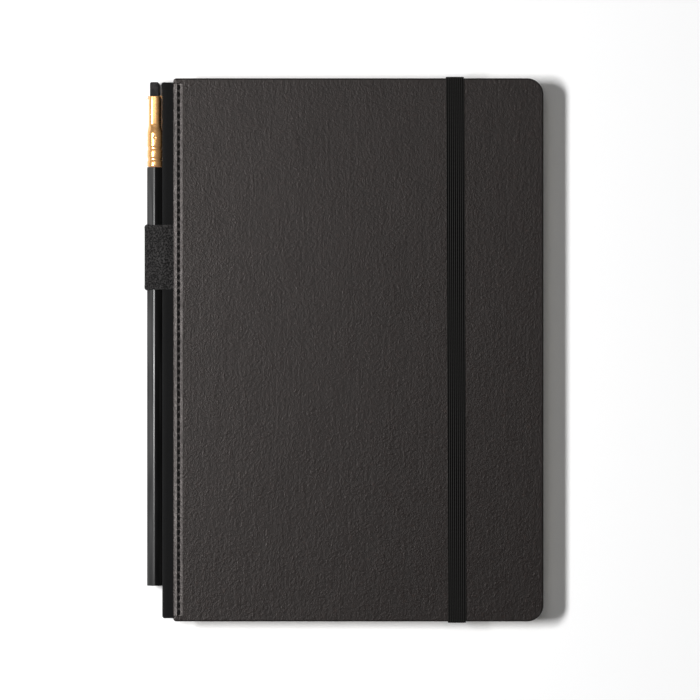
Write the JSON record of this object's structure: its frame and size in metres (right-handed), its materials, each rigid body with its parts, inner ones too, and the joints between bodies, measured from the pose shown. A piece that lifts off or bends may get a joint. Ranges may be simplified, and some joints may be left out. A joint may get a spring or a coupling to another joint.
{
  "type": "notebook",
  "caption": "Hardcover notebook with rounded fore-edge corners, stitched cover joints, an elastic closure band and a pencil held in a loop at the spine.",
  "frame": {"origin": "centre of the back cover panel, on its outer face, which the closed book lies on", "axes": "+X from the spine to the fore edge, +Y up the page to the head, +Z from the back cover to the front cover"},
  "size_m": [0.1589, 0.2172, 0.0156],
  "materials": {
    "leatherette": "matte fine grain",
    "board": "raw grey board",
    "paper": "uncoated cream",
    "endpaper": "uncoated heavy cream",
    "cloth": "black book cloth",
    "thread": "waxed black thread",
    "linen": "natural linen",
    "elastic": "ribbed woven elastic",
    "strap": "crepe woven elastic",
    "lacquer": "satin black lacquer",
    "graphite": "fired graphite core",
    "brass": "polished, crimped",
    "rubber": "dull"
  },
  "bodies": {
    "book": {"back_cover_wrap": "leatherette", "back_cover_board": "board", "back_pastedown": "endpaper", "back_seam_thread": "thread", "back_flyleaf": "endpaper", "signature_03": "paper", "signature_04": "paper", "signature_05": "paper", "signature_06": "paper", "signature_07": "paper", "signature_08": "paper", "signature_09": "paper", "signature_10": "paper", "binding_thread": "linen", "spine_mull": "linen", "spine_liner": "board", "spine_cloth": "cloth", "headband": "linen", "tailband": "linen", "closure_end_head": "elastic", "closure_end_tail": "elastic", "pencil_loop": "strap"},
    "front_leaves": {"signature_01": "paper", "signature_02": "paper"},
    "front_flyleaf": {"front_flyleaf": "endpaper"},
    "front_cover": {"front_cover_wrap": "leatherette", "front_cover_board": "board", "front_pastedown": "endpaper", "front_seam_thread": "thread"},
    "closure": {"closure_band": "elastic"},
    "pencil": {"pencil_casing": "lacquer", "pencil_lead": "graphite", "pencil_ferrule": "brass"},
    "eraser": {"eraser_block": "rubber", "eraser_clip": "brass"}
  },
  "joints": [
    {"name": "page_turn", "type": "hinge", "parent": "book", "child": "front_leaves", "pos_m": [-0.0773, 0, 0.014], "axis": [0, 1, 0], "range_deg": [-178, 0], "deforming": ["spine_cloth", "pencil_loop"]},
    {"name": "cover_open", "type": "hinge", "parent": "front_leaves", "child": "front_cover", "pos_m": [-0.0773, 0, 0.014], "axis": [0, -1, 0], "range_deg": [0, 178]},
    {"name": "flyleaf_lift", "type": "hinge", "parent": "front_leaves", "child": "front_flyleaf", "pos_m": [-0.0773, 0, 0.014], "axis": [0, -1, 0], "range_deg": [0, 24]},
    {"name": "band_slip", "type": "slide", "parent": "book", "child": "closure", "axis": [1, 0, 0], "range_m": [0, 0.0395], "deforming": ["closure_band"]},
    {"name": "pencil_slide", "type": "slide", "parent": "book", "child": "pencil", "axis": [0, 1, 0], "range_m": [-0.02, 0.205]},
    {"name": "eraser_pull", "type": "slide", "parent": "pencil", "child": "eraser", "axis": [0, 1, 0], "range_m": [0, 0.018]}
  ],
  "couplings": [
    {"joint": "flyleaf_lift", "follows": "cover_open", "ratio": 0.12}
  ]
}
